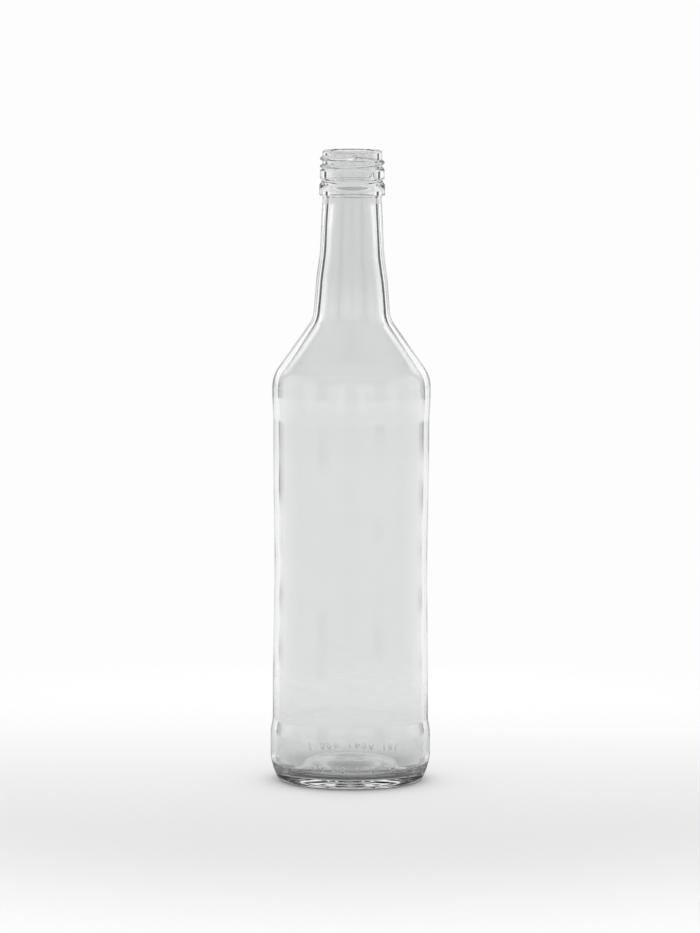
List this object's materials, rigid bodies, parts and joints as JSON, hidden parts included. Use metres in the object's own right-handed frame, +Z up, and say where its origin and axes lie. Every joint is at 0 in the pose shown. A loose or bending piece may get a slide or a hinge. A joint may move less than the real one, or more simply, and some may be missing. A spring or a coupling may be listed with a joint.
{
  "type": "wine bottle",
  "caption": "Empty clear glass wine bottle with a recessed label panel, sloping shoulder, shallow punt and a threaded finish for a roll-on cap.",
  "frame": {"origin": "centre of the bearing ring that the bottle stands on, at table level", "axes": "+Z up along the bottle's axis of revolution to the mouth; -Y faces the viewer and +X is to the viewer's right"},
  "size_m": [0.076, 0.076, 0.3],
  "materials": {
    "clear_glass": "clear flint glass, fire polished, with a stippled bearing ring"
  },
  "bodies": {
    "root": {"bottle": "clear_glass"}
  },
  "joints": []
}
